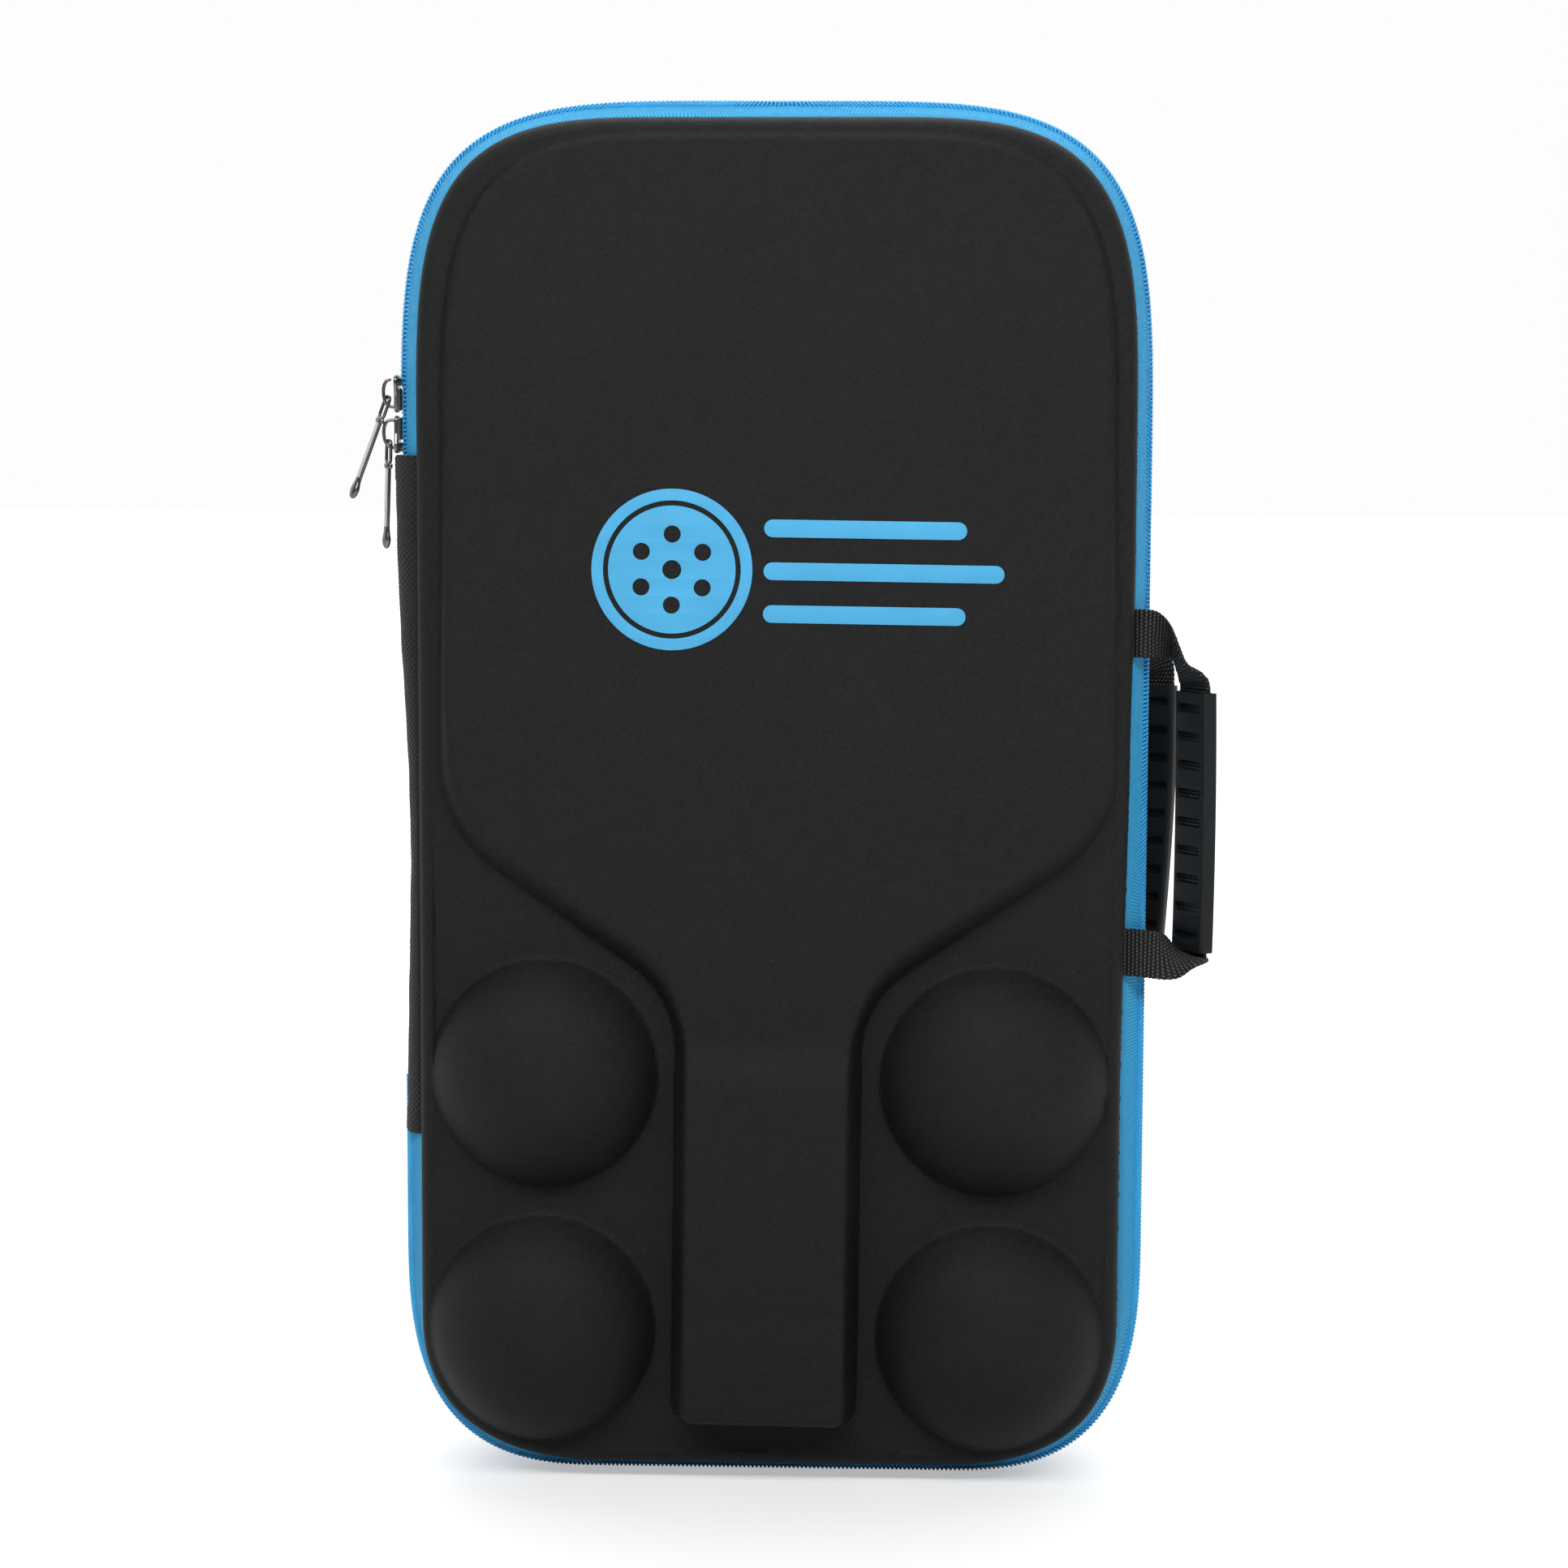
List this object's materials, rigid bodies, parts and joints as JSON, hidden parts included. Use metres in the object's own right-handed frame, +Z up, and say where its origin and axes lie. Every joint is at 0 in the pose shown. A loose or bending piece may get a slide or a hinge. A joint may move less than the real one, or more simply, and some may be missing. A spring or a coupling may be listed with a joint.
{
  "type": "racket sport paddle case",
  "caption": "Moulded clamshell case for a paddle and balls, with a coil zip, spine strip hinge, two sliders with pulls and two strap handles.",
  "frame": {"origin": "middle of the bottom edge in the seam plane, on the surface the case stands on", "axes": "+Z up along the paddle's length, front face towards -Y, spine at -X and handles at +X"},
  "size_m": [0.2801, 0.0818, 0.446],
  "materials": {
    "shell_fabric": "fine twill laminate over moulded foam",
    "lining": "brushed knit",
    "zip_tape": "herringbone tape",
    "zip_coil": "moulded nylon coil",
    "binding": "flat binding tape",
    "print": "heat-set print",
    "spine_weave": "coarse woven strip",
    "webbing": "ribbed webbing",
    "grip_rubber": "matt soft rubber",
    "gunmetal": "polished black nickel"
  },
  "bodies": {
    "back_case": {"back_shell": "shell_fabric", "back_lining": "lining", "back_zip_tape": "zip_tape", "back_zip_coil": "zip_coil", "back_seam_binding": "binding", "back_handle_sewn_ends": "webbing"},
    "front_case": {"front_shell": "shell_fabric", "front_lining": "lining", "front_zip_tape": "zip_tape", "front_zip_coil": "zip_coil", "front_seam_binding": "binding", "front_handle_sewn_ends": "webbing", "front_mark": "print"},
    "spine": {"spine_strip": "spine_weave"},
    "slider_upper": {"slider_upper_body": "gunmetal", "slider_upper_crown": "gunmetal"},
    "slider_lower": {"slider_lower_body": "gunmetal", "slider_lower_crown": "gunmetal"},
    "puller_upper": {"pull_upper": "gunmetal"},
    "puller_lower": {"pull_lower": "gunmetal"},
    "front_handle": {"front_handle_webbing": "webbing", "front_handle_grip": "grip_rubber"},
    "back_handle": {"back_handle_webbing": "webbing", "back_handle_grip": "grip_rubber"}
  },
  "joints": [
    {"name": "lid_hinge", "type": "hinge", "parent": "back_case", "child": "front_case", "pos_m": [-0.123, 0, 0.2231], "axis": [0, 0, -1], "range_deg": [0, 180]},
    {"name": "spine_fold", "type": "hinge", "parent": "back_case", "child": "spine", "pos_m": [-0.123, 0, 0.2231], "axis": [0, 0, -1], "range_deg": [0, 90]},
    {"name": "slider_upper_slide", "type": "slide", "parent": "spine", "child": "slider_upper", "axis": [0, 0, -1], "range_m": [-0.012, 0]},
    {"name": "slider_lower_slide", "type": "slide", "parent": "spine", "child": "slider_lower", "axis": [0, 0, 1], "range_m": [0, 0.0008]},
    {"name": "pull_upper_swing", "type": "hinge", "parent": "slider_upper", "child": "puller_upper", "pos_m": [-0.12475, 0, 0.3523], "axis": [0, 1, 0], "range_deg": [0, 120]},
    {"name": "pull_lower_swing", "type": "hinge", "parent": "slider_lower", "child": "puller_lower", "pos_m": [-0.1247, 0, 0.3383], "axis": [0, 1, 0], "range_deg": [0, 18]},
    {"name": "front_handle_swing", "type": "hinge", "parent": "front_case", "child": "front_handle", "pos_m": [0.1149, -0.0094, 0.2265], "axis": [0, 0, 1], "range_deg": [-75, 8]},
    {"name": "back_handle_swing", "type": "hinge", "parent": "back_case", "child": "back_handle", "pos_m": [0.1149, 0.0094, 0.2265], "axis": [0, 0, 1], "range_deg": [-25, 14]}
  ],
  "couplings": [
    {"joint": "spine_fold", "follows": "lid_hinge", "ratio": 0.5}
  ]
}
